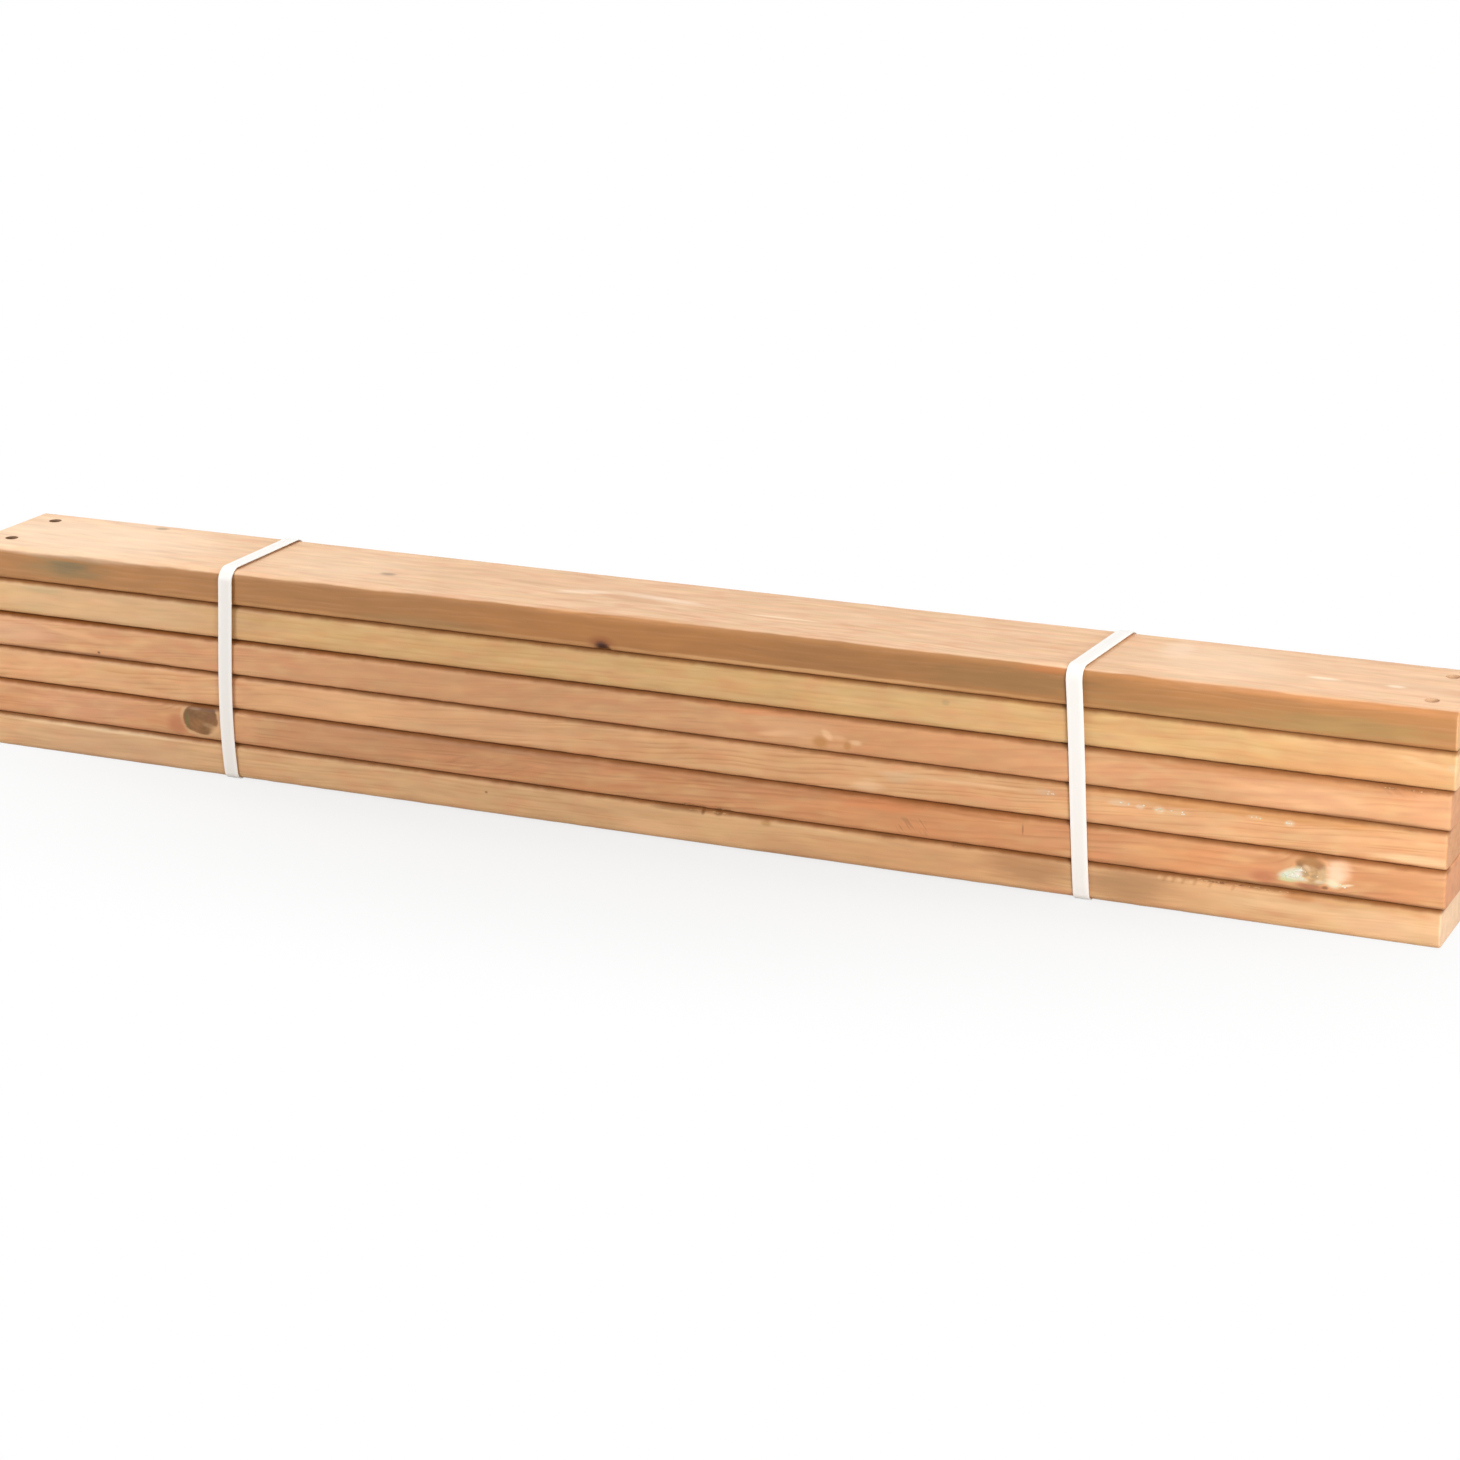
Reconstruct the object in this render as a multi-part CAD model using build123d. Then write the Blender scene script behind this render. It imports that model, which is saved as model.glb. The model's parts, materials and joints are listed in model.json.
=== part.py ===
from build123d import *
import os
from math import sqrt

# Planks: planed larch with rounded long arrises, eased ends and a bolt hole near each corner.
PLANK_LENGTH = 1200.0
PLANK_WIDTH = 105.0
PLANK_THICKNESS = 28.0
ARRIS_RADIUS = 5.0
END_EDGE_RADIUS = 1.5
HOLE_DIAMETER = 10.0
HOLE_END_DISTANCE = 23.5
HOLE_EDGE_DISTANCE = 22.5

# Stacking: the planks bear on each other's high spots, and each lies a little out of line.
# One (along, across) shift for each plank, from the top of the bundle down.
LAYER_GAP = 0.2
PLANK_SHIFTS = [
    (2.2, -0.2),
    (2.5, 0.6),
    (0.7, -0.6),
    (-0.8, 0.4),
    (-0.2, -0.4),
    (-2.5, 0.2),
]

# Straps: flat plastic bands, tight under the bundle and bent more widely over its top arrises.
# Each one's ends overlap in a welded lap on the back of the bundle.
STRAP_WIDTH = 12.0
STRAP_THICKNESS = 0.7
STRAP_CLEARANCE = 0.1
TOP_BEND_EASE = 5.0
LAP_LENGTH = 40.0
LAP_HEIGHT = 60.0

# Where each strap sits: the distance of its middle from its own end of the bundle, how far it
# drifts along the planks on the front, at even heights from the bottom up, and how far it goes
# askew from the front to the back.
LEFT_STRAP_FROM_END = 238.0
LEFT_STRAP_DRIFT = (1.2, -2.3, 0.8, 4.6)
LEFT_STRAP_SKEW = -1.0
RIGHT_STRAP_FROM_END = 262.0
RIGHT_STRAP_DRIFT = (5.0, 1.2, -1.6, -5.4)
RIGHT_STRAP_SKEW = 4.5

# The stack as the straps meet it. The floor is at height 0, under the straps.
stack_bottom = STRAP_THICKNESS + STRAP_CLEARANCE
layer_pitch = PLANK_THICKNESS + LAYER_GAP
stack_top = stack_bottom + len(PLANK_SHIFTS) * layer_pitch - LAYER_GAP
stack_front = min(across for along, across in PLANK_SHIFTS) - PLANK_WIDTH / 2
stack_back = max(across for along, across in PLANK_SHIFTS) + PLANK_WIDTH / 2


def make_plank() -> Part:
    """One plank lying flat, centred on the origin, with its length along X."""
    board = Box(PLANK_LENGTH, PLANK_WIDTH, PLANK_THICKNESS)
    board = fillet(board.edges().filter_by(Axis.X), ARRIS_RADIUS)
    ends = board.faces().sort_by(Axis.X)
    board = fillet(ends[0].edges() + ends[-1].edges(), END_EDGE_RADIUS)
    hole_spacing_along = PLANK_LENGTH - 2 * HOLE_END_DISTANCE
    hole_spacing_across = PLANK_WIDTH - 2 * HOLE_EDGE_DISTANCE
    corners = GridLocations(hole_spacing_along, hole_spacing_across, 2, 2)
    return board - corners * Cylinder(HOLE_DIAMETER / 2, PLANK_THICKNESS)


def strap_inside() -> Sketch:
    """The outline inside a strap, drawn with the bundle's width as x and its height as y.

    At the bottom it follows the planks. A stiff strap turns over the top arrises on a wider
    bend that touches them at their middle, so there it stands off both faces.
    """
    close_bend = ARRIS_RADIUS + STRAP_CLEARANCE
    wide_bend = close_bend + TOP_BEND_EASE
    stand_off = TOP_BEND_EASE * (1 - 1 / sqrt(2))
    bottom = stack_bottom - STRAP_CLEARANCE
    top = stack_top + STRAP_CLEARANCE + stand_off
    front = stack_front - STRAP_CLEARANCE
    back = stack_back + STRAP_CLEARANCE
    corners = [(front, bottom), (back, bottom), (back + stand_off, top), (front - stand_off, top)]
    outline = make_face(Polyline(corners, close=True))
    outline = fillet(outline.vertices().group_by(Axis.Y)[0], close_bend)
    return fillet(outline.vertices().group_by(Axis.Y)[-1], wide_bend)


def strap_profile() -> Sketch:
    """The loop of a strap seen along the planks, with its second layer at the lap."""
    inside = strap_inside()
    outside = offset(inside, STRAP_THICKNESS)
    second_layer = offset(outside, STRAP_THICKNESS) - outside
    lap_window = Pos(stack_back, LAP_HEIGHT) * Rectangle(PLANK_WIDTH, LAP_LENGTH)
    return outside - inside + (second_layer & lap_window)


def strap_ribbon(drift: tuple) -> Sketch:
    """A strap seen from the front: a band of even width that drifts along the planks.

    It runs a strap's width past the loop at both ends, so that it trims the whole loop.
    """
    step = (stack_top + 2 * STRAP_WIDTH) / (len(drift) - 1)
    heights = [k * step - STRAP_WIDTH for k in range(len(drift))]
    left = Spline([(x - STRAP_WIDTH / 2, z) for x, z in zip(drift, heights)])
    right = Spline([(x + STRAP_WIDTH / 2, z) for x, z in zip(drift, heights)])
    return make_face([left, right, Line(left @ 0, right @ 0), Line(left @ 1, right @ 1)])


def make_strap(drift: tuple, skew: float) -> Part:
    """One strap round the whole stack, with the middle of its width at X = 0 where it has no drift.

    The ribbon is swept to the back askew, so that the runs over and under the stack lie askew too.
    """
    reach = STRAP_WIDTH + max(abs(x) for x in drift) + abs(skew)
    loop = extrude(Plane.YZ * strap_profile(), amount=reach, both=True)
    ribbon = Plane.XZ * Pos(skew / 2, 0) * strap_ribbon(drift)
    band = extrude(ribbon, amount=PLANK_WIDTH, dir=(skew / PLANK_WIDTH, 1, 0), both=True)
    return loop & band


os.makedirs("parts", exist_ok=True)

plank = make_plank()
for layer, (along, across) in enumerate(PLANK_SHIFTS):
    height = stack_top - PLANK_THICKNESS / 2 - layer * layer_pitch
    export_step(Pos(along, across, height) * plank, f"parts/plank_{layer + 1}.step")

left_strap_x = LEFT_STRAP_FROM_END - PLANK_LENGTH / 2
right_strap_x = PLANK_LENGTH / 2 - RIGHT_STRAP_FROM_END
left_strap = make_strap(LEFT_STRAP_DRIFT, LEFT_STRAP_SKEW)
right_strap = make_strap(RIGHT_STRAP_DRIFT, RIGHT_STRAP_SKEW)
export_step(Pos(left_strap_x, 0, 0) * left_strap, "parts/strap_left.step")
export_step(Pos(right_strap_x, 0, 0) * right_strap, "parts/strap_right.step")
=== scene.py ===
import json
import logging
import math
from dataclasses import dataclass
from enum import Enum
from functools import cache, partial
from typing import Any, Callable, Sequence

import bmesh
import bpy
import numpy as np
from mathutils import Matrix, Vector


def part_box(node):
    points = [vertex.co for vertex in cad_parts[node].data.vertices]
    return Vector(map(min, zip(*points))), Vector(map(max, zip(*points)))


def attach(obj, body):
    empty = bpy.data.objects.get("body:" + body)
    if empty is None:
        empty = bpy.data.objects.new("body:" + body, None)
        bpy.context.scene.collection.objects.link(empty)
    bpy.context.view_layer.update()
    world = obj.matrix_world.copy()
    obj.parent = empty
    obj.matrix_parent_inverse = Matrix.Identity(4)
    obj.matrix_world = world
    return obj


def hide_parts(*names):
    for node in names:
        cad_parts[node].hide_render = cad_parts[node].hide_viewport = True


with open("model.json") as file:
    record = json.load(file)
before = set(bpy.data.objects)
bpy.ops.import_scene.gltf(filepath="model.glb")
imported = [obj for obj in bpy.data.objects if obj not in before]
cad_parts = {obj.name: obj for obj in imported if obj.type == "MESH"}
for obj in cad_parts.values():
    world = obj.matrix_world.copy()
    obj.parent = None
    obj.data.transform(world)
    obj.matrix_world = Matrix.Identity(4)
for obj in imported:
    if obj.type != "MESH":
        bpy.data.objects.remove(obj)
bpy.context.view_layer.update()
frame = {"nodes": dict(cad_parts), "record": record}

log = logging.getLogger("larch_bundle")

# Sizes are in millimetres; meshes are in metres, as the frame is.
MM = 0.001
IMAGE_SIDE = 1460
SENSOR_WIDTH = 36.0
BODY = "root"
WHITE = (1.0, 1.0, 1.0, 1.0)

# Each plank's lowest and highest corner, and half the length, width and thickness that they share.
PLANK_BOXES = {name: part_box(name) for name in sorted(frame["nodes"]) if name.startswith("plank")}
HALF_LENGTH, HALF_WIDTH, HALF_THICKNESS = (PLANK_BOXES["plank_1"][1] - PLANK_BOXES["plank_1"][0]) / (2 * MM)
# How deep a patch of colour goes into the wood; patches are stains, planer marks, and painted shade and light
# along some arrises.
PATCH_DEPTH = 9.0
# Flat sides of a drilled hole, and the least and greatest stretch of a resin bead along, across and up.
HOLE_SIDES = 40
BEAD_STRETCH = ((0.6, 0.14, 0.5), (1.5, 0.26, 1.0))

# Node classes and settings that come up again and again.
MATH = "ShaderNodeMath"
VECTOR = "ShaderNodeVectorMath"
RANGE = "ShaderNodeMapRange"
MIX = "ShaderNodeMix"
NOISE = "ShaderNodeTexNoise"
GROUP = "ShaderNodeGroup"
SMOOTH = {"interpolation_type": "SMOOTHSTEP"}

Add = Callable[..., bpy.types.Node]
Point = tuple[float, float, float]


class TreeKind(Enum):
    """What a node group works on, with Blender's name for it."""

    SHADER = "ShaderNodeTree"
    GEOMETRY = "GeometryNodeTree"


class Arris(Enum):
    """The long edges of a plank, as the index of their corner in its section."""

    FRONT_BOTTOM = 0
    BACK_BOTTOM = 1
    BACK_TOP = 2
    FRONT_TOP = 3


def linear(hex_colour: str) -> tuple[float, float, float, float]:
    """Turns an sRGB hex colour into linear light.

    Args:
        hex_colour: six hex digits after a hash.

    Returns:
        Linear red, green and blue, and an alpha of 1.
    """
    levels = [byte / 255 for byte in bytes.fromhex(hex_colour[1:])]
    light = [c / 12.92 if c <= 0.04045 else ((c + 0.055) / 1.055) ** 2.4 for c in levels]
    return (*light, 1.0)


def add_node(tree: bpy.types.NodeTree, kind: str, inputs: Sequence | dict = (),
             **settings: Any) -> bpy.types.Node:
    """Adds a node, sets its properties, and fills or links its inputs.

    Args:
        tree: the tree that gets the node.
        kind: Blender's name for the node's class.
        inputs: values, output sockets or nodes, by name or in the order of the inputs in use. A node
            stands for its first output in use.
        **settings: properties of the node.

    Returns:
        The new node.
    """
    node = tree.nodes.new(kind)
    for name, value in settings.items():
        setattr(node, name, value)
    in_use = [socket for socket in node.inputs if socket.enabled]
    wanted = inputs if isinstance(inputs, dict) else dict(enumerate(inputs))
    for key, value in wanted.items():
        socket = node.inputs[key] if isinstance(key, str) else in_use[key]
        if isinstance(value, bpy.types.Node):
            value = next(output for output in value.outputs if output.enabled)
        if isinstance(value, bpy.types.NodeSocket):
            tree.links.new(value, socket)
        else:
            socket.default_value = value
    return node


def start_group(name: str, kind: TreeKind, inputs: dict[str, str], outputs: dict[str, str]) -> tuple:
    """Makes a node group with nothing in it but its inputs.

    Args:
        name: the group's name.
        kind: what it works on.
        inputs: the kind of socket of each input.
        outputs: the kind of socket of each output.

    Returns:
        The group, the function that adds a node to it, and its inputs' sockets.
    """
    tree = bpy.data.node_groups.new(name, kind.value)
    for way, sockets in (("INPUT", inputs), ("OUTPUT", outputs)):
        for label, socket in sockets.items():
            tree.interface.new_socket(name=label, in_out=way, socket_type="NodeSocket" + socket)
    add = partial(add_node, tree)
    return tree, add, add("NodeGroupInput").outputs


def end_geometry(add: Add, shape: bpy.types.Node, finish: bpy.types.NodeSocket) -> None:
    """Ends a geometry tree with real meshes that wear their finish.

    Args:
        add: adds a node to the tree.
        shape: the node that gives the shape.
        finish: the material's socket.
    """
    plain = add("GeometryNodeRealizeInstances", (shape,))
    dressed = add("GeometryNodeSetMaterial", {"Geometry": plain, "Material": finish})
    add("NodeGroupOutput", (dressed,))


def new_material(name: str) -> tuple[bpy.types.Material, Add]:
    """Makes a material with an empty node tree.

    Args:
        name: the material's name.

    Returns:
        The material, and the function that adds a node to it.
    """
    made = bpy.data.materials.new(name)
    made.use_nodes = True
    made.node_tree.nodes.clear()
    return made, partial(add_node, made.node_tree)


def end_material(add: Add, colour: Any, roughness: Any, ior: float, height: Any,
                 relief: tuple[float, float]) -> None:
    """Ends a material with a coloured surface that has a fine relief.

    Args:
        add: adds a node to the material.
        colour: the surface's colour.
        roughness: how dull it is.
        ior: its refractive index.
        height: the relief's pattern.
        relief: how strongly the relief shows, and its depth in millimetres.
    """
    bump = add("ShaderNodeBump", {"Height": height, "Strength": relief[0], "Distance": relief[1] * MM})
    shader = add("ShaderNodeBsdfPrincipled", {
        "Base Color": colour, "Roughness": roughness, "Normal": bump, "IOR": ior})
    add("ShaderNodeOutputMaterial", {"Surface": shader})


def new_object(name: str, data: bpy.types.ID) -> bpy.types.Object:
    """Makes an object at the origin and puts it in the scene.

    Args:
        name: the object's name.
        data: its mesh, curve, lamp or camera.

    Returns:
        The new object.
    """
    made = bpy.data.objects.new(name, data)
    bpy.context.scene.collection.objects.link(made)
    return made


def new_mesh(name: str, points: Sequence, faces: Sequence = ()) -> bpy.types.Mesh:
    """Makes a mesh.

    Args:
        name: the mesh's name.
        points: its points, in metres.
        faces: each face's points, by number.

    Returns:
        The new mesh.
    """
    made = bpy.data.meshes.new(name)
    made.from_pydata(points, [], faces)
    return made


def run_tree(base: bpy.types.Object, tree: bpy.types.NodeTree, values: dict[str, Any]) -> bpy.types.Object:
    """Runs a geometry tree on an object and keeps the result as a plain mesh under the same name.

    Args:
        base: the object with the tree's starting geometry, which is removed afterwards.
        tree: the geometry tree.
        values: a value for each named input.

    Returns:
        A new mesh object at the origin, with no modifier.
    """
    modifier = base.modifiers.new(tree.name, "NODES")
    modifier.node_group = tree
    sockets = {s.name: s.identifier for s in tree.interface.items_tree if s.in_out == "INPUT"}
    for name, value in values.items():
        modifier[sockets[name]] = value
    evaluated = base.evaluated_get(bpy.context.evaluated_depsgraph_get())
    mesh = bpy.data.meshes.new_from_object(evaluated)
    name = base.name
    bpy.data.objects.remove(base)
    mesh.name = name
    return new_object(name, mesh)


def shade_by_angle(mesh: bpy.types.Mesh, degrees: float) -> None:
    """Shades a mesh smooth, apart from edges sharper than the given angle."""
    mesh.shade_smooth()
    mesh.set_sharp_from_angle(angle=math.radians(degrees))


def tie_in(piece: bpy.types.Object, node: str | None = None) -> bpy.types.Object:
    """Ties a finished piece to the bundle.

    Args:
        piece: the piece.
        node: the CAD node that it stands for, if any.

    Returns:
        The piece.
    """
    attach(piece, BODY)
    if node:
        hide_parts(node)
    return piece


def smooth_noise(x: np.ndarray, wavelength: float, seed: int, layer: int) -> np.ndarray:
    """Repeatable smooth noise along a line.

    Args:
        x: places along the line, in millimetres.
        wavelength: distance from one random value to the next.
        seed: fixes the noise.
        layer: picks one of many independent noises.

    Returns:
        One value from 0 to 1 for each place.
    """
    u = x / wavelength
    u = u - math.floor(float(u.min()))
    values = np.random.default_rng([seed, layer]).random(int(u.max()) + 3)
    i = np.floor(u).astype(int)
    t = u - i
    t = t * t * (3 - 2 * t)
    return values[i] * (1 - t) + values[i + 1] * t


def streaks(add: Add, place: Any, along: float, across: float, seed: Any = None, detail: float = 2.0,
            roughness: float = 0.5) -> bpy.types.Node:
    """Adds noise that is drawn out along the grain.

    Args:
        add: adds a node to the tree.
        place: the place in the plank, in millimetres.
        along: the noise's size along the plank.
        across: its size across the plank.
        seed: picks one of many noises, where there is more than one.
        detail: how many finer layers it has.
        roughness: how strong those are.

    Returns:
        The noise node.
    """
    drawn = add(VECTOR, (place, (1 / along, 1 / across, 1 / across)), operation="MULTIPLY")
    if seed is None:
        return add(NOISE, (drawn, 1.0, detail, roughness))
    return add(NOISE, (drawn, seed, 1.0, detail, roughness), noise_dimensions="4D")


@dataclass(frozen=True)
class Patch:
    """A soft-edged area of another colour, in millimetres from the plank's middle: along, across and up."""

    colour: str
    centre: Point
    reach: Point
    strength: float
    ragged: float
    turn: Point = (0.0, 0.0, 0.0)

    @classmethod
    def front(cls, colour: str, x: float, z: float, half_length: float, half_height: float,
              strength: float = 0.6, ragged: float = 0.5, slope: float = 0.0) -> "Patch":
        """A patch on the front face; slope is its turn in degrees, rising to the right."""
        return cls(colour, (x, -HALF_WIDTH, z), (half_length, PATCH_DEPTH, half_height), strength, ragged,
                   (0.0, math.radians(slope), 0.0))

    @classmethod
    def top(cls, colour: str, x: float, y: float, half_length: float, half_width: float,
            strength: float = 0.6, ragged: float = 0.5, slope: float = 0.0) -> "Patch":
        """A patch on the top face; slope is its turn in degrees, to the back on the right."""
        return cls(colour, (x, y, HALF_THICKNESS), (half_length, half_width, PATCH_DEPTH), strength, ragged,
                   (0.0, 0.0, math.radians(-slope)))

    @classmethod
    def end(cls, colour: str, strength: float, depth: float = 1.5, ragged: float = 0.3) -> "Patch":
        """The whole right-hand end face."""
        reach = (depth, 2 * HALF_WIDTH, 3 * HALF_THICKNESS)
        return cls(colour, (HALF_LENGTH, 0.0, 0.0), reach, strength, ragged)


@dataclass(frozen=True)
class Knot:
    """A branch cut through by the front face, in the plank's own place."""

    x: float
    z: float
    half_length: float
    half_height: float
    core: str
    rim: str

    @property
    def centre(self) -> Point:
        """The knot's middle."""
        return (self.x, -HALF_WIDTH, self.z)

    @property
    def reach(self) -> Point:
        """The knot's half sizes; it goes deep into the plank."""
        return (self.half_length, 4 * PATCH_DEPTH, self.half_height)


@dataclass(frozen=True)
class Feather:
    """Short slanting marks on the front face, where the planer lifted the grain."""

    x: float
    z: float
    half_length: float
    half_height: float
    slope: float = -52.0
    pitch: float = 3.4
    depth: float = 0.16


@dataclass(frozen=True)
class Tear:
    """A stretch of a long edge where the planer tore the grain or a piece broke out."""

    arris: Arris
    at: float
    length: float
    depth: float
    grit: float = 4.0
    splinters: bool = True


@dataclass(frozen=True)
class LarchFinish:
    """Planed larch, untreated: growth rings cut along the plank, fine fibres and resin-rich late wood.

    To the eye: long pale and reddish streaks that run into each other, with a low satin sheen. Pith and
    tilt place the middle of the stem, across and up from the plank's own, and turn it in degrees.
    """

    name: str
    early: str
    late: str
    warm: str
    pith: tuple[float, float]
    tilt: tuple[float, float]
    seed: float
    heart: str | None = None
    heart_climb: tuple[float, float] = (-480.0, 60.0)
    heart_rise: tuple[float, float] = (0.4, 5.4)
    heart_depth: tuple[float, float] = (12.0, 24.0)
    heart_waver: tuple[float, float] = (6.0, 16.0)
    heart_blur: float = 1.4
    joints: tuple[int, ...] = (-1, 1)
    ring_width: float = 3.4
    wander: float = 14.0
    late_strength: float = 0.3
    end_late_strength: float = 0.12
    warm_strength: float = 0.5
    rosy: str = "#D68A62"
    straw: str = "#DDB982"
    cloud_strength: float = 0.3
    # The joint settings paint shade into the grooves where two planks meet.
    joint_shade_colour: str = "#854C14"
    joint_shade_strength: tuple[float, float] = (0.85, 0.70)
    joint_reach: tuple[float, float] = (1.4, 3.8)
    joint_full: float = 0.6
    joint_inset: tuple[float, float] = (16.0, 8.0)
    joint_run: tuple[float, float] = (-500.0, 100.0)
    # The bore settings paint the holes' walls darker, with painted shade that fades from left to right.
    bore_colour: str = "#7D5533"
    bore_shade: tuple[float, float] = (0.8, 0.1)
    bore_run: tuple[float, float] = (-500.0, 500.0)
    bore_skin: tuple[float, float] = (0.1, 0.5)
    end_skin: tuple[float, float] = (0.9, 0.1)
    fibre_shade: tuple[float, float] = (0.965, 1.035)
    tone_shade: tuple[float, float] = (0.88, 1.12)
    roughness: tuple[float, float] = (0.52, 0.7)
    relief: tuple[float, float] = (0.3, 0.2)
    ior: float = 1.5
    patches: tuple[Patch, ...] = ()
    knots: tuple[Knot, ...] = ()
    feathers: tuple[Feather, ...] = ()


class LarchShader:
    """The nodes of one plank's finish, laid over each other from the bare wood up."""

    def __init__(self, finish: LarchFinish, centre: Vector, size: np.ndarray, holes: "HolePattern") -> None:
        """Finds each point's place in the plank and in its growth rings.

        Args:
            finish: the plank's wood.
            centre: the plank's middle in the row frame, in metres.
            size: the plank's length, width and thickness in millimetres.
            holes: the plank's drilled holes, whose walls get a darker colour and painted shade.
        """
        self.finish, self.holes = finish, holes
        self.half_length, self.half_width, self.half_thickness = size / 2
        self.material, self.add = new_material(finish.name)
        add = self.add
        coords = add("ShaderNodeTexCoord").outputs["Object"]
        self.place = add("ShaderNodeMapping", {
            "Vector": coords, "Location": tuple(-c / MM for c in centre), "Scale": (1 / MM,) * 3})
        flow = self.place
        for knot in finish.knots:
            flow = add(GROUP, (self.place, flow, knot.centre, knot.reach), node_tree=WoodGroups.knot_flow())
        across, up = finish.pith
        turn, dip = (math.radians(angle) for angle in finish.tilt)
        tilted = add("ShaderNodeMapping", {
            "Vector": flow, "Location": (0.0, -across, -up), "Rotation": (0.0, dip, turn)})
        self.grain = add(GROUP, (tilted, finish.ring_width, finish.wander, finish.seed),
                         node_tree=WoodGroups.grain()).outputs
        self.x, self.y, self.z = add("ShaderNodeSeparateXYZ", (self.place,)).outputs
        self.end_way = add(MATH, (self.x,), operation="ABSOLUTE")
        self.side_way = add(MATH, (self.y,), operation="ABSOLUTE")
        skin = (self.half_length - depth for depth in finish.end_skin)
        self.end_grain = add(RANGE, (self.end_way, *skin), **SMOOTH)
        self.colour: Any = linear(finish.early)

    def lay(self, share: Any, colour: Any, **settings: Any) -> None:
        """Mixes a colour, given as hex or as a node, over what is there."""
        over = linear(colour) if isinstance(colour, str) else colour
        self.colour = self.add(MIX, (share, self.colour, over), data_type="RGBA", **settings)

    def heart_share(self) -> bpy.types.Node:
        """Where the wood is brown: on the front face and just behind it.

        The pale wood ends in the front top arris. The brown's edge climbs there, from the front face on
        the left to the top on the right.

        Returns:
            The node that gives the brown's share.
        """
        add, finish, tone = self.add, self.finish, self.grain["Tone"]
        waver_up, waver_in = finish.heart_waver
        over_arris = add(MATH, (self.z, self.y), operation="ADD")
        unsteady = add(MATH, (tone, waver_up, over_arris), operation="MULTIPLY_ADD")
        arris = self.half_thickness - self.half_width
        edge = add(RANGE, (self.x, *finish.heart_climb, *(arris + rise for rise in finish.heart_rise)))
        over_edge = add(MATH, (unsteady, edge), operation="SUBTRACT")
        below = add(RANGE, (over_edge, -finish.heart_blur, finish.heart_blur, 1.0, 0.0), **SMOOTH)
        inward = add(MATH, (tone, waver_in, self.y), operation="MULTIPLY_ADD")
        fade = (depth - self.half_width for depth in finish.heart_depth)
        shallow = add(RANGE, (inward, *fade, 1.0, 0.0), **SMOOTH)
        return add(MATH, (below, shallow), operation="MULTIPLY")

    def paint_wood(self) -> None:
        """Early wood with warm stretches and soft redder and yellower clouds, brown heart and late wood."""
        add, finish, grain = self.add, self.finish, self.grain
        self.lay(add(MATH, (grain["Warmth"], finish.warm_strength), operation="MULTIPLY"), finish.warm)
        for tint, far_end in ((finish.rosy, 0.72), (finish.straw, 0.28)):
            self.lay(add(RANGE, (grain["Cloud"], 0.5, far_end, 0.0, finish.cloud_strength)), tint)
        if finish.heart:
            self.lay(self.heart_share(), finish.heart)
        strength = add(MATH, (self.end_grain, finish.end_late_strength, finish.late_strength),
                       operation="MULTIPLY_ADD")
        self.lay(add(MATH, (grain["Late Wood"], strength), operation="MULTIPLY"), finish.late)

    def paint_marks(self) -> None:
        """Knots, and the patches over them: stains and streaks, and painted shade and light along some
        arrises.
        """
        for knot in self.finish.knots:
            self.colour = self.add(GROUP, (
                self.place, self.colour, linear(knot.core), linear(knot.rim), knot.centre, knot.reach),
                node_tree=WoodGroups.knot_colour())
        for patch in self.finish.patches:
            self.colour = self.add(GROUP, (
                self.place, self.colour, linear(patch.colour), patch.centre, patch.reach, patch.turn,
                patch.ragged, patch.strength), node_tree=WoodGroups.patch())

    def paint_joint_shade(self) -> None:
        """Painted shade on the arrises where two planks meet, in the groove between them, darkest at the left
        end.
        """
        add, finish = self.add, self.finish
        near_side = add(RANGE, (self.side_way, *(self.half_width - way for way in finish.joint_inset)))
        ragged = add(RANGE, (streaks(add, self.place, 9, 40, finish.seed), 0.25, 0.75, -0.5, 0.5))
        dark = add(RANGE, (self.x, *finish.joint_run, *finish.joint_shade_strength))
        # Painted shade: a darker band on each arris that faces another plank.
        for side in finish.joints:
            height = add(MATH, (self.z, float(side), ragged), operation="MULTIPLY_ADD")
            band = (self.half_thickness - way for way in (finish.joint_reach[side > 0], finish.joint_full))
            close = add(RANGE, (height, *band), **SMOOTH)
            cover = add(MATH, (close, near_side), operation="MULTIPLY")
            self.lay(add(MATH, (cover, dark), operation="MULTIPLY"), finish.joint_shade_colour)

    def paint_bore_walls_and_shade(self) -> None:
        """The holes' walls: a darker end-grain colour with painted shade, strongest at the left end and faint
        at the right.
        """
        add, wall = self.add, self.holes.diameter / 2
        along = add(MATH, (self.end_way, self.holes.along / 2), operation="SUBTRACT")
        across = add(MATH, (self.side_way, self.holes.across / 2), operation="SUBTRACT")
        way = add(VECTOR, (add("ShaderNodeCombineXYZ", (along, across)),), operation="LENGTH")
        share = add(RANGE, (self.x, *self.finish.bore_run, *self.finish.bore_shade))
        skin = (wall + depth for depth in self.finish.bore_skin)
        self.lay(add(RANGE, (way, *skin, share, 0.0)), self.finish.bore_colour)

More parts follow.
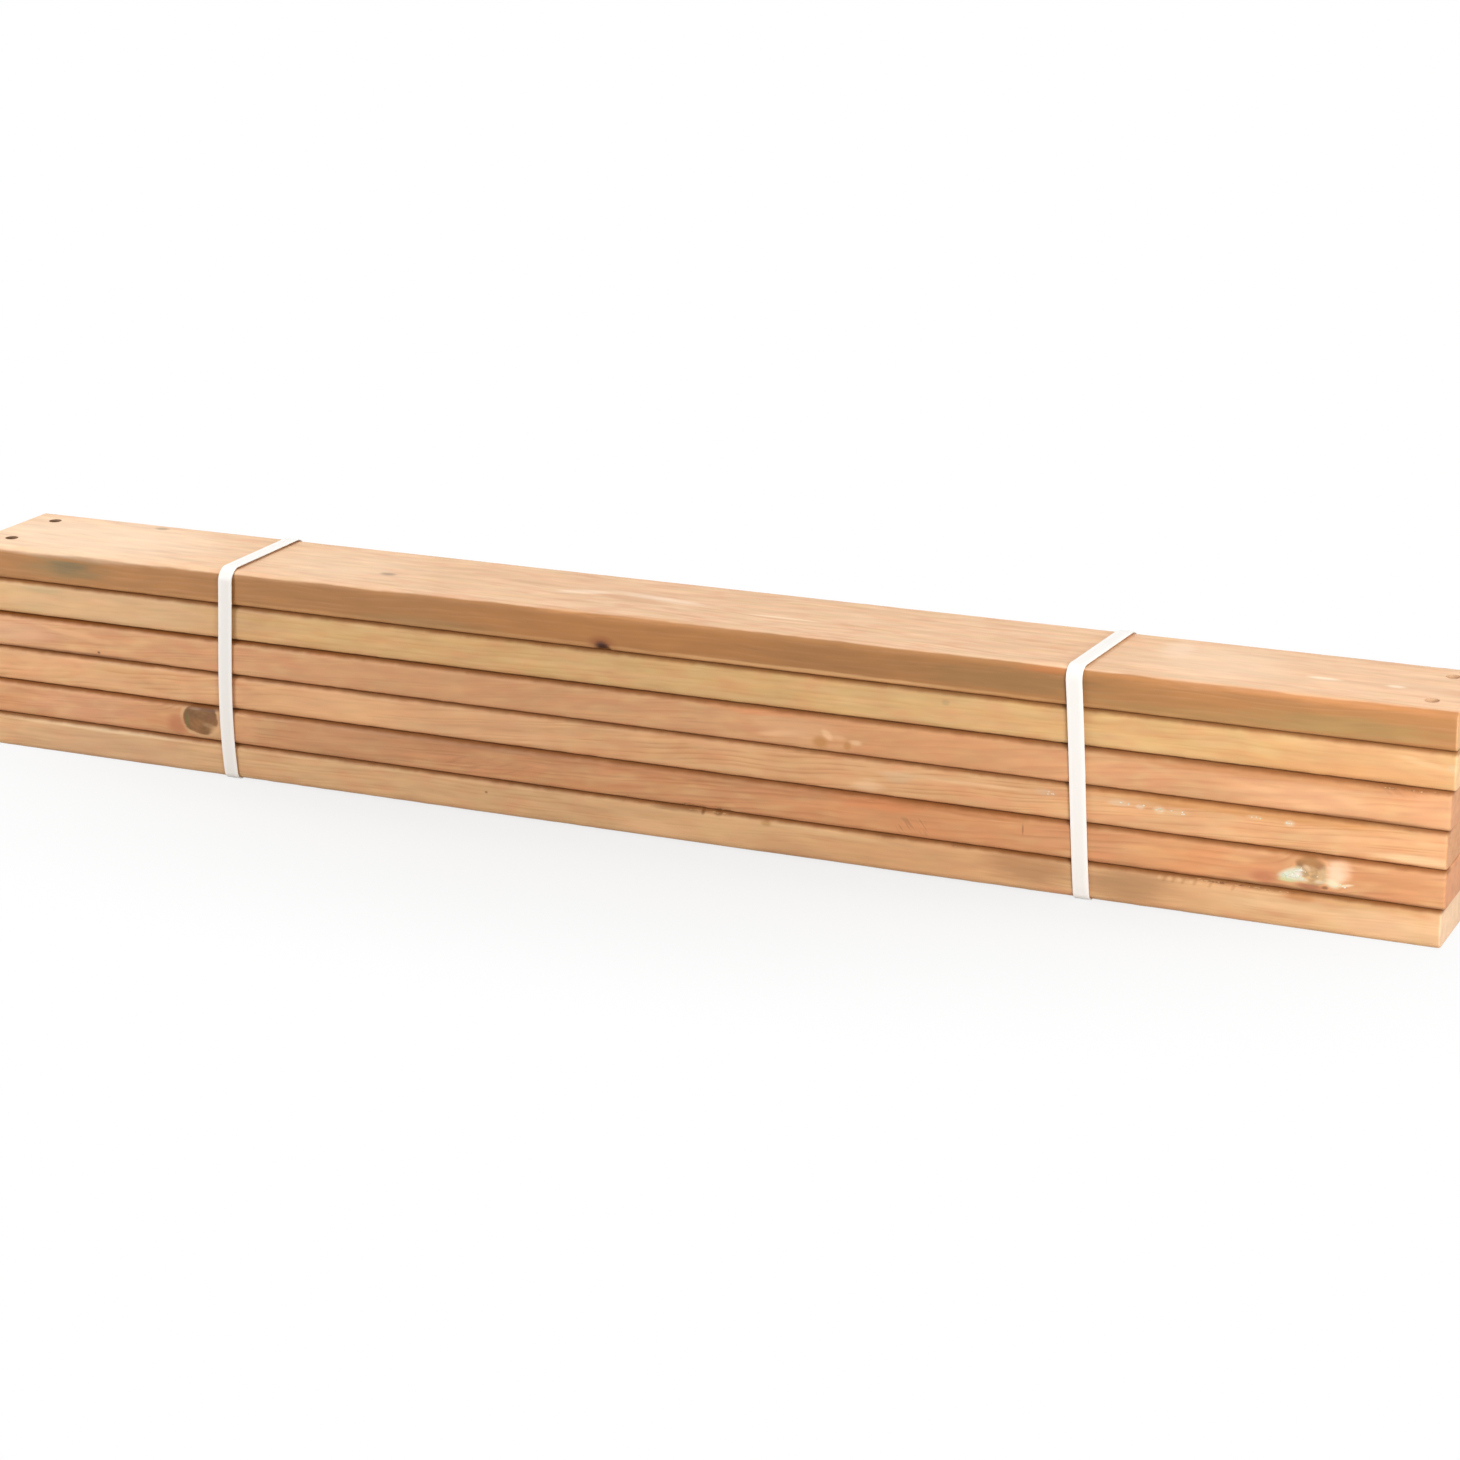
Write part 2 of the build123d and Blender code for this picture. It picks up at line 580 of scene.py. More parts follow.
    def build(self) -> bpy.types.Material:
        """Lays the colours, the fibres' shade, the painted shade in the joints and holes, and the relief of
        grain, planer and saw.

        Returns:
            The finished material.
        """
        add, finish, grain = self.add, self.finish, self.grain
        self.paint_wood()
        self.paint_marks()
        shade = add(RANGE, (grain["Fibre"], 0.25, 0.75, *finish.fibre_shade))
        tone = add(RANGE, (grain["Tone"], 0.2, 0.8, *finish.tone_shade))
        level = add(MATH, (shade, tone), operation="MULTIPLY")
        height = add(MATH, (grain["Late Wood"], 0.5, grain["Fibre"]), operation="MULTIPLY_ADD")
        for feather in finish.feathers:
            marks = add(GROUP, (
                self.place, (feather.x, -HALF_WIDTH, feather.z),
                (feather.half_length, PATCH_DEPTH, feather.half_height),
                (0.0, math.radians(feather.slope), 0.0), feather.pitch), node_tree=WoodGroups.feather())
            level = add(MATH, (marks, -feather.depth, level), operation="MULTIPLY_ADD")
            height = add(MATH, (marks, -1.2, height), operation="MULTIPLY_ADD")
        # This scale sets the saw's marks about 0.9 mm apart.
        saw = add("ShaderNodeTexWave", {
            "Vector": self.place, "Scale": 0.35, "Distortion": 1.5, "Detail": 2.0, "Detail Scale": 0.3},
            bands_direction="Z")
        saw_marks = add(MATH, (saw.outputs["Fac"], self.end_grain), operation="MULTIPLY")
        height = add(MATH, (saw_marks, 0.8, height), operation="MULTIPLY_ADD")
        self.paint_joint_shade()
        self.paint_bore_walls_and_shade()
        level = add(MATH, (self.end_grain, 0.04, level), operation="MULTIPLY_ADD")
        self.lay(1.0, level, blend_type="MULTIPLY")
        rough = add(RANGE, (grain["Fibre"], 0.2, 0.8, *finish.roughness))
        end_material(add, self.colour, rough, finish.ior, height, finish.relief)
        return self.material


class WoodGroups:
    """Node groups that the plank materials share, each made once: rings, patches, knots and planer marks."""

    @staticmethod
    @cache
    def grain() -> bpy.types.NodeTree:
        """Rings round the pith, with their late wood, fine fibres and slow changes of colour.

        Returns:
            The group.
        """
        tree, add, given = start_group(
            "larch_grain", TreeKind.SHADER,
            {"Place": "Vector", "Ring Width": "Float", "Wander": "Float", "Seed": "Float"},
            {"Late Wood": "Float", "Fibre": "Float", "Tone": "Float", "Warmth": "Float", "Cloud": "Float"})
        seed = given["Seed"]
        # The stem leans and swells slowly along the plank, which bends the rings out of line.
        sway = streaks(add, given["Place"], 150, 50, seed).outputs["Color"]
        centred = add(VECTOR, (sway, (0.5, 0.5, 0.5)), operation="SUBTRACT")
        pushed = add(VECTOR, (centred, given["Wander"]), operation="SCALE")
        bent = add(VECTOR, (given["Place"], pushed), operation="ADD")
        radial = add(VECTOR, (bent, (0.0, 1.0, 1.0)), operation="MULTIPLY")
        radius = add(VECTOR, (radial,), operation="LENGTH")
        years = add(MATH, (radius, given["Ring Width"]), operation="DIVIDE")
        lean_years = add(NOISE, (years, 0.37, 1.0), noise_dimensions="1D")
        uneven = add(MATH, (lean_years, 2.6, years), operation="MULTIPLY_ADD")
        season = add(MATH, (uneven,), operation="FRACT")
        rise = add(RANGE, (season, 0.25, 0.9), **SMOOTH)
        stop = add(RANGE, (season, 0.88, 1.0, 1.0, 0.0), **SMOOTH)
        late = add(MATH, (rise, stop), operation="MULTIPLY")
        # The rings stand out in some stretches and nearly vanish in others.
        changes = streaks(add, bent, 42, 7, seed).outputs["Color"]
        red, green, blue = add("ShaderNodeSeparateColor", (changes,)).outputs
        shown = add(RANGE, (red, 0.38, 0.62, 0.12, 1.0), **SMOOTH)
        late_shown = add(MATH, (late, shown), operation="MULTIPLY")
        warmth = add(RANGE, (green, 0.36, 0.66), **SMOOTH)
        # Larch fibres are far finer than a pixel here, so the strands are drawn about 2 mm wide.
        fibre = streaks(add, bent, 45, 2.2, seed, 3.0, 0.55)
        cloud = streaks(add, bent, 24, 9, seed, 1.0)
        add("NodeGroupOutput", (late_shown, fibre, blue, warmth, cloud))
        return tree

    @staticmethod
    def reached(add: Add, given: Any) -> tuple:
        """Adds the nodes that say how far a place is from a centre, as a share of a reach.

        Args:
            add: adds a node to the group.
            given: the group's inputs, with Place, Centre and Reach, and with Turn if the reach is turned.

        Returns:
            Nodes for the way from the centre, that way as a share of the reach, and the share's length.
        """
        way = add(VECTOR, (given["Place"], given["Centre"]), operation="SUBTRACT")
        if "Turn" in given:
            way = add("ShaderNodeVectorRotate", {"Vector": way, "Rotation": given["Turn"]},
                      rotation_type="EULER_XYZ")
        share = add(VECTOR, (way, given["Reach"]), operation="DIVIDE")
        return way, share, add(VECTOR, (share,), operation="LENGTH")

    @staticmethod
    @cache
    def patch() -> bpy.types.NodeTree:
        """A soft area of colour round a place, with an edge broken along the grain.

        Returns:
            The group.
        """
        tree, add, given = start_group(
            "colour_patch", TreeKind.SHADER,
            {"Place": "Vector", "Under": "Color", "Over": "Color", "Centre": "Vector", "Reach": "Vector",
             "Turn": "Vector", "Ragged": "Float", "Strength": "Float"}, {"Colour": "Color"})
        far = WoodGroups.reached(add, given)[2]
        offset = add(MATH, (streaks(add, given["Place"], 26, 2.6), 0.5), operation="SUBTRACT")
        edge = add(MATH, (offset, given["Ragged"], far), operation="MULTIPLY_ADD")
        cover = add(RANGE, (edge, 0.3, 1.1, 1.0, 0.0), **SMOOTH)
        share = add(MATH, (cover, given["Strength"]), operation="MULTIPLY")
        add("NodeGroupOutput", (add(MIX, (share, given["Under"], given["Over"]), data_type="RGBA"),))
        return tree

    @staticmethod
    @cache
    def knot_flow() -> bpy.types.NodeTree:
        """Pushes the grain aside round a knot.

        Returns:
            The group.
        """
        tree, add, given = start_group(
            "knot_flow", TreeKind.SHADER,
            {"Place": "Vector", "Flow": "Vector", "Centre": "Vector", "Reach": "Vector"}, {"Flow": "Vector"})
        way, _, far = WoodGroups.reached(add, given)
        push = add(RANGE, (far, 0.7, 2.8, 0.75, 0.0), **SMOOTH)
        sideways = add(VECTOR, (way, (0.0, 1.0, 1.0)), operation="MULTIPLY")
        shift = add(VECTOR, (sideways, push), operation="SCALE")
        add("NodeGroupOutput", (add(VECTOR, (given["Flow"], shift), operation="SUBTRACT"),))
        return tree

    @staticmethod
    @cache
    def knot_colour() -> bpy.types.NodeTree:
        """A knot's ringed core and pale rim.

        Returns:
            The group.
        """
        tree, add, given = start_group(
            "knot_colour", TreeKind.SHADER,
            {"Place": "Vector", "Under": "Color", "Core": "Color", "Rim": "Color", "Centre": "Vector",
             "Reach": "Vector"}, {"Colour": "Color"})
        _, share, far = WoodGroups.reached(add, given)
        noise = add(NOISE, (share, 1.7, 3.0))
        wavy = add(MATH, (noise, 0.3, far), operation="MULTIPLY_ADD")
        rim = add(RANGE, (wavy, 1.28, 1.42, 1.0, 0.0), **SMOOTH)
        rimmed = add(MIX, (rim, given["Under"], given["Rim"]), data_type="RGBA")
        age = add(MATH, (wavy, 24.0), operation="MULTIPLY")
        rings = add(RANGE, (add(MATH, (age,), operation="SINE"), -1.0, 1.0, 0.93, 1.05))
        blotches = add(RANGE, (noise, 0.3, 0.7, 0.75, 1.25))
        level = add(MATH, (rings, blotches), operation="MULTIPLY")
        heart = add(MIX, (1.0, given["Core"], level), data_type="RGBA", blend_type="MULTIPLY")
        core = add(RANGE, (wavy, 1.08, 1.2, 1.0, 0.0), **SMOOTH)
        add("NodeGroupOutput", (add(MIX, (core, rimmed, heart), data_type="RGBA"),))
        return tree

    @staticmethod
    @cache
    def feather() -> bpy.types.NodeTree:
        """A fan of short slanting marks.

        Returns:
            The group.
        """
        tree, add, given = start_group(
            "feather_marks", TreeKind.SHADER,
            {"Place": "Vector", "Centre": "Vector", "Reach": "Vector", "Slant": "Vector", "Pitch": "Float"},
            {"Marks": "Float"})
        way, _, far = WoodGroups.reached(add, given)
        slanted = add("ShaderNodeVectorRotate", {"Vector": way, "Rotation": given["Slant"]},
                      rotation_type="EULER_XYZ")
        rows = add(VECTOR, (slanted, given["Pitch"]), operation="DIVIDE")
        drawn = add(VECTOR, (rows, (0.12, 0.12, 1.0)), operation="MULTIPLY")
        lines = add(RANGE, (add(NOISE, (drawn, 1.6, 1.0)), 0.5, 0.66), **SMOOTH)
        cover = add(RANGE, (far, 0.4, 1.0, 1.0, 0.0), **SMOOTH)
        add("NodeGroupOutput", (add(MATH, (lines, cover), operation="MULTIPLY"),))
        return tree


@dataclass(frozen=True)
class StrapFinish:
    """White polypropylene strapping, rolled with a fine embossed pattern.

    To the eye: an even, slightly soft white with a dull sheen, a little greyer along its middle. The real
    emboss is under 2 mm across; it is drawn a little coarser, so that it shows.
    """

    name: str = "polypropylene_strap_embossed_white"
    edge: str = "#F6F2ED"
    middle: str = "#F0ECE7"
    middle_zone: tuple[float, float] = (2.0, 5.0)
    roughness: float = 0.42
    emboss_pitch: float = 2.4
    emboss: tuple[float, float] = (0.25, 0.05)
    ior: float = 1.49

    def material(self) -> bpy.types.Material:
        """Builds the strap material.

        Returns:
            The finished material.
        """
        made, add = new_material(self.name)
        across = add("ShaderNodeAttribute", attribute_name="across").outputs["Fac"]
        along = add("ShaderNodeAttribute", attribute_name="along").outputs["Fac"]
        turns = 2 * math.pi / (self.emboss_pitch * MM)
        ridges = []
        for sign in (1.0, -1.0):
            slant = add(MATH, (across, sign, along), operation="MULTIPLY_ADD")
            phase = add(MATH, (slant, turns), operation="MULTIPLY")
            ridges.append(add(MATH, (phase,), operation="SINE"))
        diamonds = add(MATH, ridges, operation="MULTIPLY")
        side = add(MATH, (across,), operation="ABSOLUTE")
        rim = add(RANGE, (side, *(way * MM for way in self.middle_zone)), **SMOOTH)
        tone = add(MIX, (rim, linear(self.middle), linear(self.edge)), data_type="RGBA")
        end_material(add, tone, self.roughness, self.ior, diamonds, self.emboss)
        return made


@dataclass(frozen=True)
class GrainyFinish:
    """A small piece's finish: one colour that changes a little from grain to grain.

    Dried larch resin is a milky crust to the eye, and torn fibres are a dull pale fuzz.
    """

    name: str
    light: str
    dark: str
    grain: float
    roughness: float
    ior: float
    relief: tuple[float, float] = (0.4, 0.2)

    def material(self) -> bpy.types.Material:
        """Builds the material.

        Returns:
            The finished material.
        """
        made, add = new_material(self.name)
        coords = add("ShaderNodeTexCoord").outputs["Object"]
        noise = add(NOISE, (coords, 1 / (self.grain * MM), 3.0))
        spread = add(RANGE, (noise, 0.35, 0.65), **SMOOTH)
        tone = add(MIX, (spread, linear(self.light), linear(self.dark)), data_type="RGBA")
        end_material(add, tone, self.roughness, self.ior, noise, self.relief)
        return made


@dataclass
class HolePattern:
    """The drilled holes of one plank: their diameter and the distances between them."""

    diameter: float
    along: float
    across: float

    @classmethod
    def from_record(cls, record: dict, mount: str) -> "HolePattern":
        """Reads the pattern from a bolt pattern that the record states."""
        dims = next(m["dims"] for m in record["mounts"] if m["name"] == mount)
        return cls(2 * dims["hole_r_mm"], dims["spacing_x_mm"], dims["spacing_y_mm"])

    @staticmethod
    @cache
    def tree() -> bpy.types.NodeTree:
        """The geometry tree that drills one hole near each corner of a plank.

        Returns:
            The tree.
        """
        tree, add, given = start_group(
            "drill_holes", TreeKind.GEOMETRY,
            {"Plank": "Geometry", "Diameter": "Float", "Along": "Float", "Across": "Float", "Depth": "Float",
             "Middle": "Vector", "Finish": "Material"}, {"Plank": "Geometry"})
        corners = add("GeometryNodeMeshGrid", (given["Along"], given["Across"], 2, 2))
        placed = add("GeometryNodeTransform", (corners, given["Middle"]))
        radius = add(MATH, (given["Diameter"], 0.5), operation="MULTIPLY")
        bit = add("GeometryNodeMeshCylinder", {
            "Vertices": HOLE_SIDES, "Radius": radius, "Depth": given["Depth"]})
        bits = add("GeometryNodeInstanceOnPoints", {"Points": placed, "Instance": bit})
        solid_bits = add("GeometryNodeRealizeInstances", (bits,))
        drilled = add("GeometryNodeMeshBoolean", {"Mesh 1": given["Plank"], "Mesh 2": solid_bits},
                      operation="DIFFERENCE")
        end_geometry(add, drilled, given["Finish"])
        return tree


@dataclass
class Plank:
    """One planed plank, lying flat, with rounded arrises that are worn and torn in places."""

    node: str
    finish: LarchFinish
    holes: HolePattern
    seed: int
    tears: tuple[Tear, ...] = ()
    arris_radius: float = 5.0
    end_ease: float = 1.5
    end_steps: int = 4
    wear: float = 0.5
    wear_stretch: float = 70.0
    wear_nick: float = 9.0
    station: float = 2.0
    face_step: float = 6.0
    face_pieces: int = 8
    arc_steps: int = 8
    drill_depth: float = 1.2
    sharp_angle: float = 40.0

    @property
    def size(self) -> np.ndarray:
        """Length, width and thickness in millimetres."""
        low, high = PLANK_BOXES[self.node]
        return np.array(high - low) / MM

    @property
    def centre(self) -> Vector:
        """The plank's middle, in metres."""
        low, high = PLANK_BOXES[self.node]
        return (low + high) / 2

    @property
    def front(self) -> float:
        """How far forward the front face is, in metres."""
        return PLANK_BOXES[self.node][0].y

    def section(self) -> tuple[np.ndarray, np.ndarray, np.ndarray]:
        """The plank's outline across its length.

        Returns:
            Points (y, z), their outward normals, and for each arris how much each point is on it.
        """
        half = self.size[1:] / 2 - self.arris_radius
        corners = [np.array(way) * half for way in ((-1, -1), (1, -1), (1, 1), (-1, 1))]
        points, normals, on_arris = [], [], []
        for index, corner in enumerate(corners):
            for step in range(self.arc_steps + 1):
                share = step / self.arc_steps
                angle = math.radians(180 + 90 * (index + share))
                direction = np.array([math.cos(angle), math.sin(angle)])
                points.append(corner + self.arris_radius * direction)
                normals.append(direction)
                on_arris.append([math.sin(math.pi * share) * (arris.value == index) for arris in Arris])
            here = points[-1]
            there = corners[(index + 1) % len(corners)] + self.arris_radius * normals[-1]
            flat = float(np.linalg.norm(there - here))
            count = round(flat / min(self.face_step, flat / self.face_pieces))
            for step in range(1, count):
                points.append(here + (there - here) * step / count)
                normals.append(normals[-1])
                on_arris.append([0.0] * len(Arris))
        return np.array(points), np.array(normals), np.array(on_arris)

    def stations(self) -> tuple[np.ndarray, np.ndarray]:
        """Places along the plank.

        Returns:
            The places, and how far the outline is drawn in at each to ease the ends.
        """
        half = self.size[0] / 2
        turn = np.radians(np.linspace(0, 90, self.end_steps + 1))
        ease_x = half - self.end_ease * (1 - np.sin(turn))
        ease_in = self.end_ease * (1 - np.cos(turn))
        middle = np.linspace(-half + self.end_ease, half - self.end_ease, int(2 * half / self.station))
        x = np.concatenate([-ease_x[::-1], middle[1:-1], ease_x])
        inset = np.concatenate([ease_in[::-1], np.zeros(len(middle) - 2), ease_in])
        return x, inset

    def worn_depth(self, x: np.ndarray, on_arris: np.ndarray) -> np.ndarray:
        """How far wear and tears draw the surface in.

        Args:
            x: places along the plank.
            on_arris: for each outline point, how much it is on each arris.

        Returns:
            Depth in millimetres for each place and outline point.
        """
        depth = np.zeros((len(x), len(on_arris)))
        for arris in Arris:
            k = arris.value
            line = self.wear * smooth_noise(x, self.wear_stretch, self.seed, k)
            line = line * smooth_noise(x, self.wear_nick, self.seed, 10 + k)
            for tear in (t for t in self.tears if t.arris is arris):
                window = np.clip(1 - np.abs(x - tear.at) / (tear.length / 2), 0, 1)
                bite = smooth_noise(x, tear.grit, self.seed, 20 + k) ** 2
                line = line + tear.depth * np.sqrt(window) * (0.25 + 0.75 * bite)
            depth += np.outer(line, on_arris[:, k])
        return depth

    def mesh(self) -> bpy.types.Mesh:
        """Lofts the outline along the plank and closes both ends.

        Returns:
            The plank's mesh, without its holes.
        """
        points, normals, on_arris = self.section()
        x, inset = self.stations()
        depth = self.worn_depth(x, on_arris) + inset[:, None]
        rows, columns = depth.shape
        place = np.empty((rows, columns, 3))
        place[:, :, 0] = x[:, None]
        place[:, :, 1:] = points[None] - depth[:, :, None] * normals[None]
        place = place * MM + np.array(self.centre)
        ids = np.arange(rows * columns).reshape(rows, columns)
        after = np.roll(ids, -1, axis=1)
        quads = np.stack([ids[:-1], after[:-1], after[1:], ids[1:]], axis=-1).reshape(-1, 4)
        faces = quads.tolist() + [ids[0][::-1].tolist(), ids[-1].tolist()]
        made = new_mesh(self.node + "_wood", place.reshape(-1, 3).tolist(), faces)
        work = bmesh.new()
        work.from_mesh(made)
        bmesh.ops.recalc_face_normals(work, faces=work.faces)
        work.to_mesh(made)
        work.free()
        return made

    def build(self) -> bpy.types.Object:
        """Makes the plank, drills it and puts it in the place of its node.

        Returns:
            The finished plank.
        """
        blank = new_object(self.node + "_wood", self.mesh())
        piece = run_tree(blank, HolePattern.tree(), {
            "Diameter": self.holes.diameter * MM, "Along": self.holes.along * MM,
            "Across": self.holes.across * MM, "Depth": self.size[2] * MM * self.drill_depth,
            "Middle": tuple(self.centre),
            "Finish": LarchShader(self.finish, self.centre, self.size, self.holes).build()})
        shade_by_angle(piece.data, self.sharp_angle)
        return tie_in(piece, self.node)


@dataclass
class TornFibres:
    """Splinters that stand up where the planer tore the planks' long edges."""

    planks: Sequence[Plank]
    finish: bpy.types.Material
    name: str = "torn_fibres"
    spacing: float = 2.2
    length: float = 7.0
    thickness: float = 0.5
    sunk: tuple[float, float] = (0.3, 0.7)
    sides: int = 5
    lean: tuple[Point, Point] = ((-0.2, 1.25, -0.35), (0.2, 1.75, 0.2))
    growth: tuple[Point, Point] = ((0.5, 0.5, 0.35), (1.0, 1.0, 1.25))
    seed: int = 11

    def tree(self) -> bpy.types.NodeTree:
        """The geometry tree that puts a splinter on each point, nearly in line with the plank.

        Returns:
            The tree.
        """
        tree, add, given = start_group(
            "torn_fibres", TreeKind.GEOMETRY,
            {"Points": "Geometry", "Length": "Float", "Thickness": "Float", "Seed": "Int",
             "Finish": "Material"}, {"Fibres": "Geometry"})
        spots = add("GeometryNodeMeshToPoints", (given["Points"],))
        splinter = add("GeometryNodeMeshCone", {
            "Vertices": self.sides, "Radius Top": 0.0, "Radius Bottom": given["Thickness"],
            "Depth": given["Length"]})
        lean, growth = (
            add("FunctionNodeRandomValue", {0: least, 1: most, "Seed": given["Seed"]},
                data_type="FLOAT_VECTOR") for least, most in (self.lean, self.growth))
        placed = add("GeometryNodeInstanceOnPoints", {
            "Points": spots, "Instance": splinter, "Rotation": lean, "Scale": growth})
        end_geometry(add, placed, given["Finish"])
        return tree

    def build(self) -> bpy.types.Object:
        """Scatters the splinters along every tear on a front edge.

        Returns:
            All splinters, as one piece.
        """
        rng = np.random.default_rng(self.seed)
        spots = []
        for plank in self.planks:
            inward = plank.arris_radius * (1 - 1 / math.sqrt(2))
            for tear in (t for t in plank.tears if t.splinters):
                level = -1 if tear.arris is Arris.FRONT_BOTTOM else 1
                count = int(tear.length / self.spacing)
                for x in tear.at + tear.length * (rng.random(count) - 0.5):
                    sunk = inward + tear.depth * rng.uniform(*self.sunk)
                    z = plank.centre.z / MM + level * (plank.size[2] / 2 - sunk)
                    spots.append((x * MM, plank.front + sunk * MM, z * MM))
        base = new_object(self.name, new_mesh(self.name, spots))
        piece = run_tree(base, self.tree(), {
            "Length": self.length * MM, "Thickness": self.thickness * MM, "Seed": self.seed,
            "Finish": self.finish})
        return tie_in(piece)


@dataclass(frozen=True)
class ResinRun:
    """A line of dried resin beads on a plank's front face, through points (along, up)."""

    path: tuple[tuple[float, float], ...]
    beads: int
    size: float
    spread: float


@dataclass
class DriedResin:
    """Beads and crust of dried resin on one plank's front face."""

    name: str
    plank: Plank
    runs: Sequence[ResinRun]
    finish: bpy.types.Material
    seed: int
    spread_up: float = 0.6

    @staticmethod
    @cache
    def tree() -> bpy.types.NodeTree:
        """The geometry tree that puts a flattened bead on each point.

        Returns:
            The tree.
        """
        tree, add, given = start_group(
            "resin_beads", TreeKind.GEOMETRY, {"Points": "Geometry", "Seed": "Int", "Finish": "Material"},
            {"Beads": "Geometry"})
        size = add("GeometryNodeInputNamedAttribute", ("size",), data_type="FLOAT")
        spots = add("GeometryNodeMeshToPoints", (given["Points"],))
        bead = add("GeometryNodeSetShadeSmooth", (add("GeometryNodeMeshIcoSphere", (1.0, 2)),))
        vary = add("FunctionNodeRandomValue", {
            0: BEAD_STRETCH[0], 1: BEAD_STRETCH[1], "Seed": given["Seed"]}, data_type="FLOAT_VECTOR")
        scale = add(VECTOR, (vary, size), operation="SCALE")
        placed = add("GeometryNodeInstanceOnPoints", {"Points": spots, "Instance": bead, "Scale": scale})
        end_geometry(add, placed, given["Finish"])
        return tree

    def build(self) -> bpy.types.Object:
        """Sets the beads along their runs.

        Returns:
            All beads, as one piece.
        """
        rng = np.random.default_rng(self.seed)
        spots, sizes = [], []
        for run in self.runs:
            path = np.array(run.path)
            steps = np.concatenate([[0.0], np.cumsum(np.linalg.norm(np.diff(path, axis=0), axis=1))])
            for at in rng.random(run.beads) * steps[-1]:
                x = np.interp(at, steps, path[:, 0]) + rng.normal(0, run.spread)
                z = np.interp(at, steps, path[:, 1]) + rng.normal(0, run.spread * self.spread_up)
                spots.append((x * MM, self.plank.front, self.plank.centre.z + z * MM))
                sizes.append(run.size * MM)
        base = new_mesh(self.name, spots)
        base.attributes.new("size", "FLOAT", "POINT").data.foreach_set("value", sizes)
        piece = run_tree(new_object(self.name, base), self.tree(), {"Seed": self.seed, "Finish": self.finish})
        return tie_in(piece)


